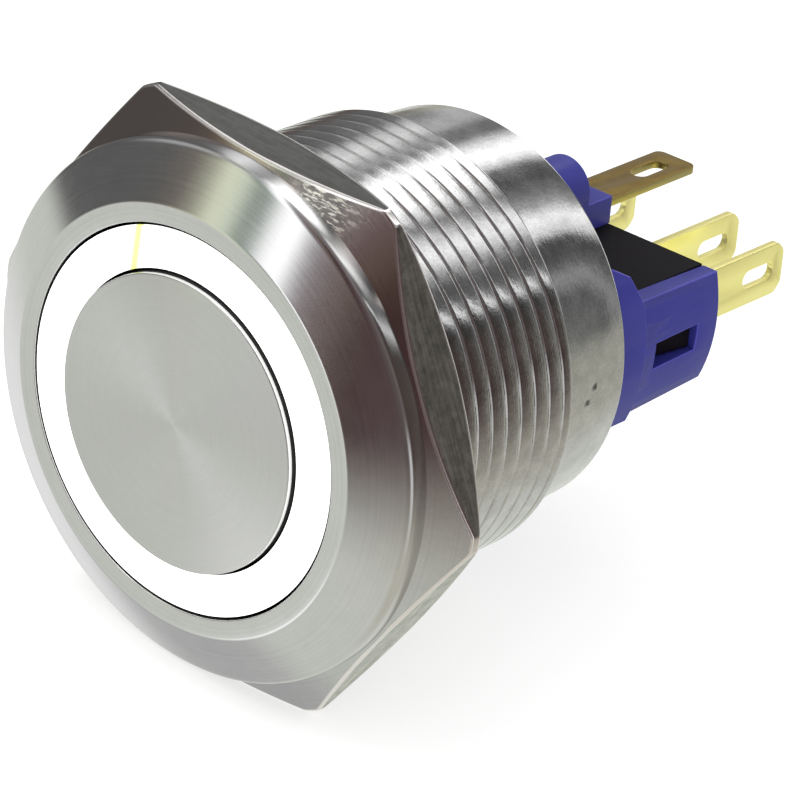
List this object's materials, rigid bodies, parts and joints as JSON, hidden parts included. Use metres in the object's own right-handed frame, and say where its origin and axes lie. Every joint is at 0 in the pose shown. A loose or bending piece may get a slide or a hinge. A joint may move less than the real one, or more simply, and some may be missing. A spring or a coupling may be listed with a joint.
{
  "type": "pushbutton_switch",
  "caption": "Metal pushbutton switch with a hexagonal head, lit ring, M22 threaded barrel and slotted solder lugs; momentary changeover contact",
  "frame": {"origin": "centre of the head's rear face, which seats on the panel, on the axis of the barrel", "axes": "+Y runs along the barrel from the button to the solder lugs, +Z through the middle of a flat of the hexagonal head and, within five degrees, past the plus lamp lug, +X toward the closed-contact lug"},
  "size_m": [0.03, 0.0368, 0.0264],
  "materials": {
    "steel": "turned stainless steel, finely brushed",
    "ring_plastic": "milky, lit from behind",
    "seal_rubber": "black, matt",
    "white_plastic": "moulded, matt",
    "spring_steel": "bright drawn wire and strip",
    "board_green": "lacquered board",
    "lamp_white": "clear lens over a yellow body",
    "black_plastic": "moulded, satin",
    "blue_plastic": "moulded, satin",
    "gilt_brass": "thin gold plate on stamped brass",
    "copper_wire": "tinned copper",
    "contact_silver": "silver alloy"
  },
  "bodies": {
    "housing": {"head_body": "steel", "light_ring": "ring_plastic", "ring_gasket": "seal_rubber", "return_spring": "spring_steel", "guide_sleeve": "white_plastic", "led_board": "board_green", "led_1": "lamp_white", "led_2": "lamp_white", "led_3": "lamp_white", "led_4": "lamp_white", "board_resistor": "black_plastic", "terminal_base": "blue_plastic", "contact_case": "black_plastic", "contact_cover": "black_plastic", "lug_closed": "gilt_brass", "lug_open": "gilt_brass", "lug_common": "gilt_brass", "led_lug_plus": "gilt_brass", "led_lug_minus": "gilt_brass", "led_wire_plus": "copper_wire", "led_wire_minus": "copper_wire", "tip_closed": "contact_silver", "tip_open": "contact_silver", "snap_spring": "spring_steel"},
    "button": {"button_cap": "steel", "button_seal": "seal_rubber", "plunger": "white_plastic", "stop_clip": "spring_steel"},
    "blade": {"contact_blade": "gilt_brass", "tip_moving": "contact_silver"}
  },
  "joints": [
    {"name": "button_press", "type": "slide", "parent": "housing", "child": "button", "axis": [0, 1, 0], "range_m": [0, 0.0025], "stiffness_N_per_m": 800, "springref_m": -0.002, "deforming": ["return_spring", "snap_spring"]},
    {"name": "blade_swing", "type": "hinge", "parent": "housing", "child": "blade", "pos_m": [-0.00319, 0.01405, -0.00028], "axis": [-0.0872, 0, 0.9962], "range_deg": [0, 11.5]}
  ],
  "couplings": [
    {"joint": "blade_swing", "follows": "button_press", "rad_per_m": 80}
  ]
}
